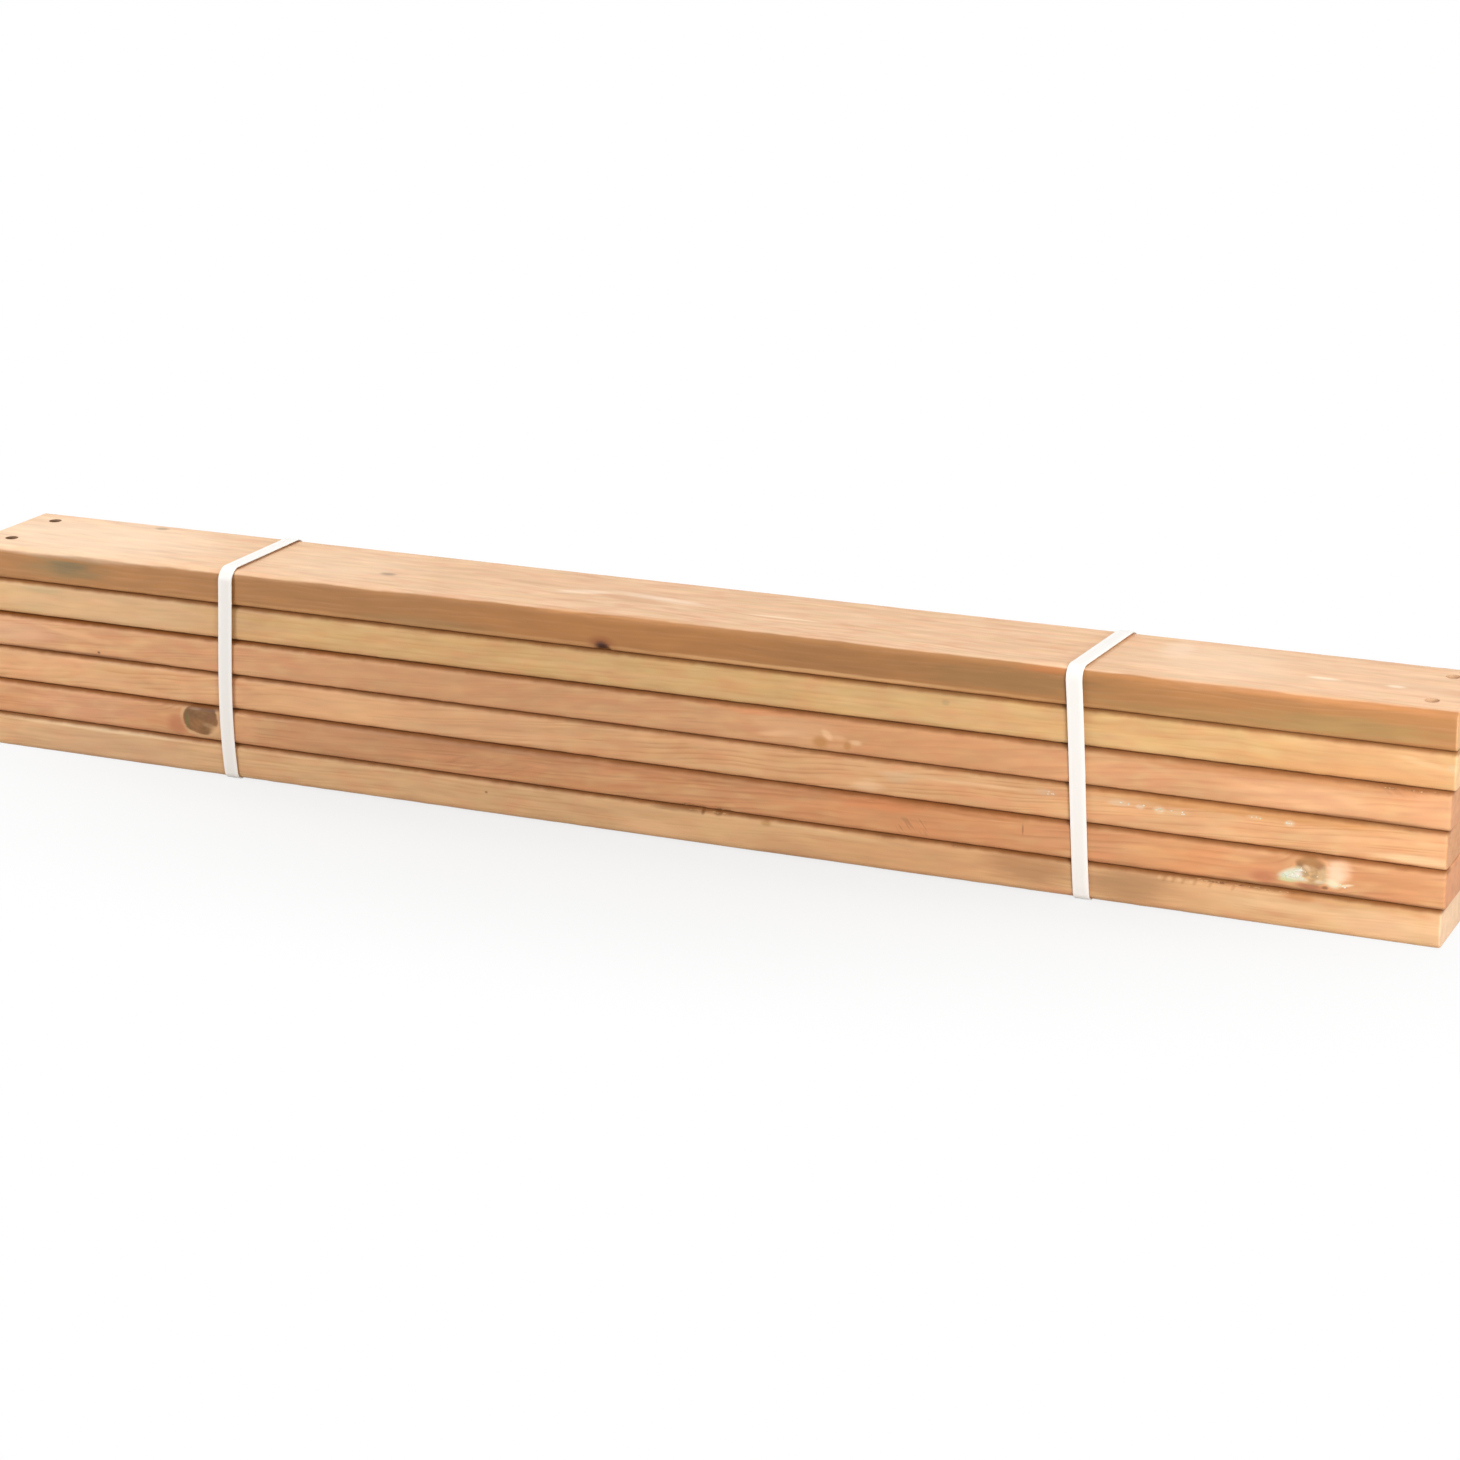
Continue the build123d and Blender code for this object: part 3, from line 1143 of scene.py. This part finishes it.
@dataclass
class Strap:
    """One strap round the stack, a flat band that bends over the arrises and laps on the back."""

    node: str
    finish: bpy.types.Material
    from_middle: float
    drift: tuple[float, ...]
    skew: float
    width: float = 12.0
    thickness: float = 0.7
    edge_radius: float = 0.25
    clearance: float = 0.1
    close_bend: float = 5.1
    top_ease: float = 5.0
    bend_steps: int = 14
    run_step: float = 4.0
    lap_length: float = 40.0
    lap_height: float = 60.0
    tail_lift: float = 0.6
    tail_share: float = 0.25
    weld_ripple: float = 0.05
    weld_ripples: int = 7
    weld_share: float = 0.6
    sharp_angle: float = 50.0

    def loop(self, layer: int) -> np.ndarray:
        """The line along the middle of the band, seen along the planks.

        Args:
            layer: 0 for the strap itself, 1 for the second layer at the lap.

        Returns:
            Points (y, z) in millimetres, close together, right round the stack.
        """
        lows, highs = (np.array(corners) / MM for corners in zip(*PLANK_BOXES.values()))
        out = self.clearance + self.thickness * (0.5 + layer)
        front, bottom = lows.min(axis=0)[1:] - out
        back, top = highs.max(axis=0)[1:] + out
        stand = self.top_ease * (1 - 1 / math.sqrt(2))
        corners = np.array([
            (front, bottom), (back, bottom), (back + stand, top + stand), (front - stand, top + stand)])
        wide = self.close_bend + self.top_ease
        radii = np.array([self.close_bend, self.close_bend, wide, wide]) + out - self.clearance
        arcs = [self.bend(corners[k - 1], corners[k], corners[(k + 1) % 4], radii[k]) for k in range(4)]
        line: list[np.ndarray] = []
        for k, arc in enumerate(arcs):
            line.extend(arc)
            here, there = arc[-1], arcs[(k + 1) % 4][0]
            pieces = max(2, int(np.linalg.norm(there - here) / self.run_step))
            line.extend(here + (there - here) * step / pieces for step in range(1, pieces))
        return np.array(line)

    def bend(self, before: np.ndarray, corner: np.ndarray, after: np.ndarray, radius: float) -> list:
        """Points on an arc that rounds a corner.

        Args:
            before: the corner before this one.
            corner: the corner to round.
            after: the next corner.
            radius: the bend's radius.

        Returns:
            The arc's points, in order.
        """
        back = (before - corner) / np.linalg.norm(before - corner)
        ahead = (after - corner) / np.linalg.norm(after - corner)
        half = math.acos(float(np.dot(back, ahead))) / 2
        reach = radius / math.tan(half)
        inward = (back + ahead) / np.linalg.norm(back + ahead)
        centre = corner + inward * radius / math.sin(half)
        start, end = corner + back * reach - centre, corner + ahead * reach - centre
        turn = math.pi - 2 * half
        shares = [step / self.bend_steps for step in range(self.bend_steps + 1)]
        return [
            centre + (start * math.sin((1 - share) * turn) + end * math.sin(share * turn)) / math.sin(turn)
            for share in shares]

    def along(self, line: np.ndarray) -> np.ndarray:
        """Adds the strap's place along the planks to its loop.

        Args:
            line: points (y, z) of the loop.

        Returns:
            Points (x, y, z) in metres.
        """
        top = max(high.z for _, high in PLANK_BOXES.values()) / MM
        heights = np.linspace(-self.width, top + self.width, len(self.drift))
        bend = np.polyfit(heights, self.drift, len(self.drift) - 1)
        share_back = line[:, 0] / (2 * HALF_WIDTH) + 0.5
        x = self.from_middle + np.polyval(bend, line[:, 1]) + self.skew * share_back
        return np.column_stack([x, line]) * MM

    @staticmethod
    @cache
    def tree() -> bpy.types.NodeTree:
        """The geometry tree that sweeps a flat band along a path and marks the way along and across it.

        Returns:
            The tree.
        """
        tree, add, given = start_group(
            "strap_band", TreeKind.GEOMETRY,
            {"Path": "Geometry", "Width": "Float", "Thickness": "Float", "Edge Radius": "Float",
             "Finish": "Material"}, {"Band": "Geometry"})
        store = partial(add, "GeometryNodeStoreNamedAttribute", data_type="FLOAT", domain="POINT")
        level = add("GeometryNodeSetCurveNormal", {"Curve": given["Path"], "Normal": (1.0, 0.0, 0.0)},
                    mode="FREE")
        run = add("GeometryNodeSplineParameter").outputs["Length"]
        measured = store({"Geometry": level, "Name": "along", "Value": run})
        outline = add("GeometryNodeCurvePrimitiveQuadrilateral", (given["Width"], given["Thickness"]))
        rounded = add("GeometryNodeFilletCurve", (outline, 3, given["Edge Radius"]), mode="POLY")
        divided = add("GeometryNodeSubdivideCurve", (rounded, 2))
        spot = add("ShaderNodeSeparateXYZ", (add("GeometryNodeInputPosition"),))
        crossed = store({"Geometry": divided, "Name": "across", "Value": spot})
        band = add("GeometryNodeCurveToMesh", {
            "Curve": measured, "Profile Curve": crossed, "Fill Caps": True})
        end_geometry(add, band, given["Finish"])
        return tree

    def lap(self) -> np.ndarray:
        """The second layer at the lap, pressed close by the weld and lifting a little at its tail.

        Returns:
            Points (y, z) in millimetres.
        """
        line = self.loop(1)
        line = line[(line[:, 0] > 0) & (np.abs(line[:, 1] - self.lap_height) < self.lap_length / 2)]
        share = (line[:, 1] - self.lap_height) / self.lap_length + 0.5
        welded = np.abs(share - 0.5) < self.weld_share / 2
        ripple = self.weld_ripple * np.sin(share * 2 * math.pi * self.weld_ripples) * welded
        tail = np.clip((share - 1 + self.tail_share) / self.tail_share, 0, 1)
        line[:, 0] += self.tail_lift * tail ** 2 + ripple
        return line

    def build(self) -> bpy.types.Object:
        """Makes the strap with its lap and puts it in the place of its node.

        Returns:
            The finished strap.
        """
        path = bpy.data.curves.new(self.node + "_band", "CURVE")
        path.dimensions = "3D"
        for line, closed in ((self.loop(0), True), (self.lap(), False)):
            points = self.along(line)
            spline = path.splines.new("POLY")
            spline.points.add(len(points) - 1)
            spline.points.foreach_set("co", np.column_stack([points, np.ones(len(points))]).ravel())
            spline.use_cyclic_u = closed
        piece = run_tree(new_object(self.node + "_band", path), self.tree(), {
            "Width": self.width * MM, "Thickness": self.thickness * MM,
            "Edge Radius": self.edge_radius * MM, "Finish": self.finish})
        shade_by_angle(piece.data, self.sharp_angle)
        return tie_in(piece, self.node)


@dataclass
class PhotoCamera:
    """The camera that sees the bundle as the photograph does, with its turns in degrees."""

    place: Point = (1099.4, -2276.3, 867.1)
    yaw: float = 24.853
    pitch: float = 17.526
    roll: float = -0.627
    focal_pixels: float = 3518.9

    def build(self) -> None:
        """Makes the camera and gives it to the scene."""
        yaw, pitch, roll = (math.radians(angle) for angle in (self.yaw, self.pitch, self.roll))
        ahead = Vector((-math.sin(yaw) * math.cos(pitch), math.cos(yaw) * math.cos(pitch), -math.sin(pitch)))
        right = Vector((math.cos(yaw), math.sin(yaw), 0.0))
        up = right.cross(ahead)
        rolled_right = right * math.cos(roll) + up * math.sin(roll)
        rolled_up = up * math.cos(roll) - right * math.sin(roll)
        turn = Matrix((rolled_right, rolled_up, -ahead)).transposed()
        data = bpy.data.cameras.new("photo_camera")
        data.sensor_fit = "HORIZONTAL"
        data.sensor_width = SENSOR_WIDTH
        data.lens = self.focal_pixels / IMAGE_SIDE * SENSOR_WIDTH
        camera = new_object("photo_camera", data)
        camera.matrix_world = Matrix.Translation(Vector(self.place) * MM) @ turn.to_4x4()
        bpy.context.scene.camera = camera


@dataclass(frozen=True)
class Softbox:
    """A square soft light: its place, aim and side in metres, and its power in watts."""

    name: str
    place: Point
    aim: Point
    side: float
    power: float

    def build(self) -> None:
        """Hangs the light and turns it to what it lights."""
        data = bpy.data.lights.new(self.name, "AREA")
        data.shape = "SQUARE"
        data.size = self.side
        data.energy = self.power
        lamp = new_object(self.name, data)
        lamp.location = self.place
        lamp.rotation_euler = (Vector(self.aim) - Vector(self.place)).to_track_quat("-Z", "Y").to_euler()


@dataclass
class Studio:
    """A white floor and background, and soft light from above and from the front; sizes in metres."""

    floor_side: float = 60.0
    floor_drop: float = 0.0001
    floor_colour: str = "#C9C7C4"
    shadow_share: float = 0.22
    shadow_reach: tuple[float, float] = (0.1, 0.4)
    shadow_squeeze: float = 0.45
    sky_strength: float = 0.3
    lights: tuple[Softbox, ...] = (
        Softbox("right_front_light", (1.05, -0.8, 0.45), (0.62, 0.0, 0.1), 0.45, 9.8),
        Softbox("left_front_light", (-1.0, -0.8, 0.5), (-0.65, 0.0, 0.1), 0.5, 5.9),
        Softbox("right_top_light", (0.8, 0.2, 1.3), (0.55, 0.0, 0.15), 0.8, 6.8),
        Softbox("left_top_light", (-0.7, 0.2, 1.3), (-0.5, 0.0, 0.15), 0.8, 7.9),
    )

    @staticmethod
    def background_ray(add: Add) -> bpy.types.Node:
        """Adds the nodes that pick out the rays that show the background.

        Args:
            add: adds a node to the material or the world.

        Returns:
            A node that is 1 for a ray to the camera, off a gloss or through glass.
        """
        path = add("ShaderNodeLightPath").outputs
        seen = add(MATH, (path["Is Camera Ray"], path["Is Glossy Ray"]), operation="MAXIMUM")
        return add(MATH, (seen, path["Is Transmission Ray"]), operation="MAXIMUM")

    def floor(self) -> None:
        """A white floor that keeps a light shadow near the bundle."""
        half, low = self.floor_side / 2, -self.floor_drop
        corners = [(-half, -half, low), (half, -half, low), (half, half, low), (-half, half, low)]
        mesh = new_mesh("floor", corners, [(0, 1, 2, 3)])
        made, add = new_material("studio_floor_matt_white")
        paint = add("ShaderNodeBsdfDiffuse", (linear(self.floor_colour),))
        white = add("ShaderNodeEmission", (WHITE, 1.0))
        coords = add("ShaderNodeTexCoord").outputs["Object"]
        squeezed = add(VECTOR, (coords, (self.shadow_squeeze, 1.0, 1.0)), operation="MULTIPLY")
        far = add(VECTOR, (squeezed,), operation="LENGTH")
        fade = add(RANGE, (far, *self.shadow_reach, 1 - self.shadow_share, 1.0), **SMOOTH)
        share = add(MATH, (self.background_ray(add), fade), operation="MULTIPLY")
        mixed = add("ShaderNodeMixShader", (share, paint, white))
        add("ShaderNodeOutputMaterial", {"Surface": mixed})
        mesh.materials.append(made)
        new_object("floor", mesh)

    def world(self) -> None:
        """White where the background shows, and a plain grey light elsewhere."""
        world = bpy.data.worlds.new("studio")
        bpy.context.scene.world = world
        world.use_nodes = True
        world.node_tree.nodes.clear()
        add = partial(add_node, world.node_tree)
        light, white = (add("ShaderNodeBackground", (WHITE, level)) for level in (self.sky_strength, 1.0))
        mixed = add("ShaderNodeMixShader", (self.background_ray(add), light, white))
        add("ShaderNodeOutputWorld", {"Surface": mixed})

    def build(self) -> None:
        """Sets up floor, background and lights."""
        self.floor()
        self.world()
        for light in self.lights:
            light.build()
        bpy.context.scene.view_settings.view_transform = "Standard"


def plank_finishes() -> list[LarchFinish]:
    """The six planks' woods, from the top of the bundle down, with their stains, knots and streaks, and
    painted shade and light along some arrises.
    """
    front, top = Patch.front, Patch.top
    return [
        LarchFinish("larch_planed_pale_top", "#E6BE98", "#C08A5E", "#DEAE84", (8.0, -62.0), (0.6, 0.4), 1.0,
                    heart="#AB7643", joints=(-1,), patches=(
            top("#F2D5B6", -520, -4, 170, 80, 0.65), top("#DDB08A", -110, 20, 150, 26, 0.45, 0.7),
            top("#E3BB97", 480, 0, 160, 60, 0.5), top("#F2D3B4", 420, 0, 60, 60, 0.35),
            top("#EAC8A6", -288, 0, 90, 60, 0.5),
            top("#CFA07A", -33, -6, 42, 7, 0.7, 0.6, -3), top("#D3A57E", -122, 8, 42, 5, 0.65, 0.6, -3),
            top("#F6DCC2", -76, -1, 30, 6.5, 0.55, 0.9, 16), top("#F6DCC2", -12, 3, 52, 6.5, 0.55, 0.9, -8),
            top("#F5DABB", 92, -10.3, 36, 2.4, 0.7), top("#F8DCC2", 383, 24, 15, 24, 0.35, 1.2),
            top("#F8DFC2", 496, -8, 15, 4, 0.8, 0.4), top("#F8DFC2", 546, -8, 9, 4, 0.8),
            top("#8E745C", -239, -12.5, 9, 5, 0.7), top("#9C8468", -480, 41, 8, 5, 0.7),
            Patch("#D98A4C", (520, -50, 12), (200, 5, 5), 0.3, 0.9),
            # The first patch here, a paler band along the lower arris, is painted light against the shade of
            # that downward-facing arris.
            front("#D9A46C", 0, -11.3, 640, 2.8, 0.5, 0.8), front("#8E6034", 180, 0, 150, 14, 0.35),
            front("#84734A", -512, 0, 48, 11, 0.55, 1.2), front("#6E6244", -506, 3, 24, 4.4, 0.55, 1.0),
            front("#776848", -512, -2, 18, 5, 0.4, 1.2), front("#876A40", 285, 0, 95, 11, 0.45, 1.0),
            front("#C87640", 311, 11, 26, 3, 0.45, 0.8),
            front("#9A814C", 526, -4, 85, 9, 0.5, 1.0), front("#A38350", 440, -9, 130, 7, 0.4, 1.0),
            front("#A08255", -185, -9, 70, 6, 0.35, 1.0), front("#BC7A3E", -30, 3, 170, 22, 0.3),
            front("#D2925A", -62, 12.6, 36, 2.4, 0.5, 1.8), front("#D2925A", 4, 13, 52, 2.2, 0.5, 1.8),
            front("#8A4222", -37, -8, 13, 7, 0.5), front("#3A1404", -36.6, -11.2, 7.6, 5.8, 1.0, 0.6),
            # A paler band along the lower arris: painted light against its shade.
            front("#E2B07A", 130, -10.8, 170, 2.2, 0.55, 0.9),
            Patch.end("#E8B582", 0.8),
        )),
        LarchFinish("larch_planed_straw", "#D8AC76", "#C28B4B", "#D4A264", (-5.0, 80.0), (0.2, 1.2), 2.0,
                    straw="#D9BE80", patches=(
            front("#D5AB84", -480, 0, 170, 30, 0.5), front("#D0986A", 548, 0, 75, 30, 0.5),
            front("#9C8B66", 235, 6.4, 4, 3, 0.35), front("#A99A74", -535, 8.8, 28, 4, 0.4),
            front("#F0D3A6", 575, 5, 28, 3, 0.2, 0.9, -10),
            front("#D2925A", 520, -8, 120, 8, 0.4, 0.9), front("#C2AE88", 597, 3, 4, 4, 0.5),
            Patch.end("#F4CB9C", 0.7),
        )),
        LarchFinish("larch_planed_rose", "#D59F70", "#B67342", "#CC8F63", (12.0, -90.0), (0.2, 4.5), 3.0,
                    joint_shade_strength=(1.0, 0.72), joint_reach=(2.0, 3.8), patches=(
            # These two dark bands along the lower arris are painted shade in the groove under the plank.
            front("#5E381A", -500, -12.4, 110, 2.6, 0.5, 0.8),
            front("#6A4020", 545, -12.4, 70, 2.6, 0.5, 0.8),
            front("#DDAE8A", -560, 0, 60, 12, 0.5, 0.9), front("#D79865", 220, 0, 120, 30, 0.5),
            front("#CC9567", -160, 0, 170, 30, 0.5), front("#E6AE80", -500, 3, 40, 3.5, 0.5, 1.0, -6),
            front("#D98A55", 95, 11, 62, 3.5, 0.5), front("#EBBE90", 112, -3, 24, 3, 0.6, 0.6, 6),
            front("#E6AE80", 122, 1, 46, 12, 0.5, 0.7), front("#F3C292", 146, -0.3, 6.5, 3.6, 0.75, 0.6, -38),
            front("#E8B486", 155, -1.5, 7, 2.4, 0.5), front("#F2C496", 168.5, -3.8, 6.5, 2.6, 0.7),
            front("#B9763F", 480, 10.5, 150, 4, 0.5, 0.9),
            front("#BE8449", 140.6, -6.5, 7.6, 6, 0.85, 0.1), front("#BE8449", 161.8, -7, 4, 4, 0.8, 0.1),
            front("#5A3A22", -482, -9, 1.8, 1.4, 0.8, 0.1), front("#E0A478", 590, -2, 26, 16, 0.4, 0.8),
            front("#EDB68A", 500, -2, 60, 12, 0.35, 0.8), Patch.end("#D0926A", 0.5),
        ), feathers=(Feather(566, 10.5, 26, 4, -38.0, 6.5, 0.12),)),
        LarchFinish("larch_planed_amber", "#DDA979", "#B97A42", "#D59865", (-14.0, 70.0), (0.3, 4.0), 4.0,
                    late_strength=0.42, patches=(
            front("#F0CFA0", 580, -8, 40, 4.5, 0.5), front("#EBC598", 250, 5, 70, 2.4, 0.35, 0.9),
            front("#E8B280", -262, 0, 90, 30, 0.5), front("#F0C498", 178, -7, 16, 6, 0.55, 0.9),
            front("#DDBB90", 202, 3, 18, 6, 0.45, 0.9),
            # The first patch here, a darker band under the upper arris on the right, is painted shade near
            # the joint; the others are resin.
            front("#C4864A", 460, 11, 150, 5.5, 0.7, 0.9), front("#DED4B8", 369, 5.2, 10, 3.4, 0.3, 1.0),
            front("#EEE0BE", 398, 3.8, 5.6, 3.4, 0.34, 0.9), front("#E2D0A8", 411, 4.0, 11, 3.2, 0.24, 1.0),
            front("#E4DCC6", 384, 4.2, 4, 2.4, 0.36, 0.8), front("#E6D2B0", 466, 7.5, 7, 2.6, 0.2, 0.9),
            front("#E2D0B0", 314, 5.6, 10, 3.0, 0.22, 1.0), front("#E6DDC2", 491, 6.2, 5, 2.8, 0.36, 0.8),
            front("#E0AE82", -140, 0, 90, 20, 0.3), Patch.end("#CC8E62", 0.6),
        )),
        LarchFinish("larch_planed_russet", "#D19869", "#A8673C", "#C68453", (6.0, -75.0), (0.2, 3.0), 5.0,
                    late_strength=0.36, patches=(
            front("#D6915D", 220, 0, 120, 30, 0.5), front("#BF8C62", -263, 0, 90, 30, 0.5),
            # A dark band along the lower arris on the right: painted shade in the groove under the plank.
            front("#643C1C", 490, -12.4, 130, 2.8, 0.55, 0.8),
            front("#DDA882", -500, 0, 70, 20, 0.35, 0.8), front("#E39A62", 415, 0, 60, 20, 0.35, 0.7),
            front("#AC6440", -411.5, -4.5, 12, 11, 0.6), front("#DE8650", 188, 8.7, 45, 7, 0.45),
            front("#E0A676", -349, 1, 16, 16, 0.5), front("#7E5232", -379, 5, 7, 5, 0.6),
            front("#583820", -381, 12.2, 13, 3, 0.65), front("#A8876E", -394, 11.2, 7, 1.6, 0.5),
            front("#68602F", -401.6, 1, 2.6, 9, 0.7, 0.4),
            front("#A8825A", -381, -1.5, 9, 2.4, 0.6, 0.6, -10),
            front("#D0A272", -374.5, -6.5, 10, 6.5, 0.95, 0.4, 30),
            front("#7A4A2C", 297.4, 4.2, 0.9, 5, 0.5, 0.1), front("#B05C3C", 474, -6, 13, 6, 0.5),
            front("#A9683C", 60, 10.5, 200, 4.5, 0.4, 0.9), front("#A2622F", 240, 11.5, 90, 4, 0.5, 0.9),
            front("#A4744C", -150, 7, 120, 10, 0.25, 0.9), front("#8E6040", -150, 12, 150, 4, 0.4, 0.9),
            front("#C08050", 568, 0, 36, 14, 0.4),
            front("#8C6038", 499.6, 6.8, 5, 3.4, 0.8), front("#986640", 512.4, 7, 5.5, 4, 0.8),
            front("#A4703E", 506, 9.4, 11, 5, 0.85), front("#E0BC96", 504, 4.2, 4.4, 2.4, 0.65, 0.9, -34),
            front("#A08660", 503.2, -0.4, 3.6, 2.4, 0.7, 0.8), front("#A08660", 509.2, -1, 3, 2, 0.65, 0.8),
            front("#C8A67C", 515.4, 0.6, 4.6, 6, 0.8), front("#E0CEB0", 501, -4.2, 5, 2.2, 0.7, 0.9),
            front("#DCC8A8", 513.5, -4.6, 5, 2, 0.6, 0.9),
            front("#DCD2B4", 492.6, -0.4, 11.5, 4.2, 0.9, 0.5, 24),
            front("#D6D6B6", 492.5, -4, 10, 3.6, 0.9, 0.5),
            front("#C6CC94", 489.5, -6, 8, 2, 0.65, 0.6), front("#E6DCD2", 495.5, -1.8, 7, 3.2, 0.8, 0.6, 10),
            front("#F6CBA6", 526, 5.5, 11, 11, 0.65, 0.5, 8), front("#F4D0B0", 524, 1.5, 7, 10, 0.6, 0.7),
            front("#E2DCB8", 522.5, -5, 7, 3.8, 0.75, 0.8, -12),
            front("#EFD9B4", 531.5, -4.8, 6.5, 1.3, 0.7, 0.4, 12), front("#9A5C40", 506, -9, 13, 2.6, 0.75),
            front("#6A4A2A", 517, -8.3, 3, 1.8, 0.7), Patch.end("#D8946A", 0.6),
        ), knots=(
            Knot(-388.7, 3.2, 16.3, 12.9, "#835930", "#D2A274"),
            Knot(507.0, 1.5, 12.0, 10.0, "#C39A6C", "#D89A68"),
        ), feathers=(Feather(214, -5, 24, 9, depth=0.22), Feather(-140, -3, 62, 11, 12.0, 5.0, 0.12))),
        LarchFinish("larch_planed_tan", "#D9AC7C", "#B87F47", "#D29E6F", (-8.0, 95.0), (0.2, 1.5), 6.0,
                    joints=(1,), joint_shade_strength=(0.82, 0.84), patches=(
            front("#D19968", 220, 0, 120, 30, 0.5), front("#D0996B", 402, 0, 65, 30, 0.5),
            front("#C79F7A", -473, -5, 120, 22, 0.5), front("#E1B27E", 51, 0, 90, 30, 0.5),
            front("#AA7E54", 378, 2, 42, 17, 0.7, 0.5), front("#AC7A50", 306, 6, 46, 18, 0.75, 0.6),
            front("#D08B5E", 330, -11, 25, 4, 0.5), front("#B8733C", 502, 10.5, 14, 4, 0.7),
            front("#CB935A", 550, 11.5, 80, 4.5, 0.5, 0.9), front("#EFC9A0", 560, -2, 45, 12, 0.35),
            front("#F6CFA0", 485, 2, 50, 7, 0.25, 0.8),
            front("#E2B48A", 596, -2, 9, 18, 0.4, 0.8),
            Patch.end("#F6D2AE", 0.85),
            # The first patch here, a pale band along the upper arris at the left, is a painted highlight.
            front("#E9C69A", -475, 11, 110, 2.5, 0.7, 0.8), front("#EAC08C", 150, 9, 60, 3, 0.5, 0.8, -2),
            front("#7A5030", -133, 3.7, 1.6, 1.3, 0.7, 0.1),
            front("#EDBC8C", 8, -8, 36, 9, 0.55, 0.8), front("#BE8A60", 112, -7, 48, 9, 0.5, 0.8),
            front("#7E5228", 27, 12, 26, 3.2, 0.5, 1.4), front("#6E4420", 48.6, 12.4, 2.2, 3.4, 0.8, 0.3),
            front("#7C5A2C", 61, 12.2, 4.4, 2.6, 0.7, 0.8), front("#B07E3E", 100, 10.4, 5, 3, 0.55, 0.6),
            *(front("#A26C34", x, 10.4, 1.6, 3.4, 0.35, 0.5, -30)
              for x in (405, 411.5, 418.5, 427, 438, 454.5)),
            *(front("#F2C898", x, 11.2, 1.8, 2.2, 0.25, 0.3, -30) for x in (401, 408.5, 415.5, 424)),
        )),
    ]


def plank_tears() -> list[tuple[Tear, ...]]:
    """Where each plank's front edges are torn or chipped, from the top of the bundle down."""
    high, low = Arris.FRONT_TOP, Arris.FRONT_BOTTOM
    return [
        (Tear(low, -36, 13, 3.6, 5.0, False),),
        (),
        (Tear(high, 572, 40, 1.2),),
        (),
        (Tear(low, 50, 44, 1.3),),
        (Tear(high, 452, 84, 1.5), Tear(high, 245, 9, 1.8), Tear(high, 50, 40, 1.2)),
    ]


def main() -> None:
    """Builds the bundle, the studio and the camera, and reports each piece."""
    logging.basicConfig(level=logging.INFO, format="%(name)s: %(message)s")
    holes = HolePattern.from_record(frame["record"], "top_plank_holes")
    planks = [Plank(f"plank_{n}", finish, holes, n, tears)
              for n, (finish, tears) in enumerate(zip(plank_finishes(), plank_tears()), 1)]
    white = StrapFinish().material()
    resin = GrainyFinish("larch_resin_dried", "#DEDAC8", "#C9C6A8", 3.0, 0.5, 1.54).material()
    crust = GrainyFinish("larch_resin_crust", "#DFD9CA", "#CBD0B2", 3.0, 0.5, 1.54).material()
    fuzz = GrainyFinish("larch_torn_fibres", "#D9AE7C", "#8A5B34", 2.0, 0.75, 1.5).material()
    pieces = list(planks) + [
        TornFibres(planks, fuzz),
        DriedResin("resin_specks", planks[3], (
            ResinRun(((364, 5.4), (384, 4.2), (400, 3.4), (415, 3.4)), 14, 0.6, 1.4),
            ResinRun(((308, 5.8), (322, 5.2)), 4, 0.5, 1.2), ResinRun(((462, 8.0), (470, 7.4)), 3, 0.5, 1.0),
            ResinRun(((488, 6.4), (493, 6.0)), 4, 0.6, 0.9)), resin, 21),
        DriedResin("resin_crust", planks[4], (
            ResinRun(((487, -2.2), (493, -0.2), (499, 2.6)), 10, 1.4, 0.6),
            ResinRun(((487.5, -3.4), (494, -3.2), (499.5, -3.4)), 10, 1.4, 0.7),
            ResinRun(((500, -4.2), (503, -4.4)), 4, 0.7, 0.7),
            ResinRun(((519, -5.6), (526, -5.8), (533, -4.6)), 5, 0.6, 0.9),
            ResinRun(((498, 3), (506, 1.0), (512, -2.0)), 5, 0.5, 2.0)), crust, 22),
        Strap("strap_left", white, -362.0, (1.2, -2.3, 0.8, 4.6), -1.0),
        Strap("strap_right", white, 338.0, (5.0, 1.2, -1.6, -5.4), 4.5),
    ]
    for piece in pieces:
        made = piece.build()
        log.info("%s: %d faces", made.name, len(made.data.polygons))
    Studio().build()
    PhotoCamera().build()


if __name__ == "__main__":
    main()
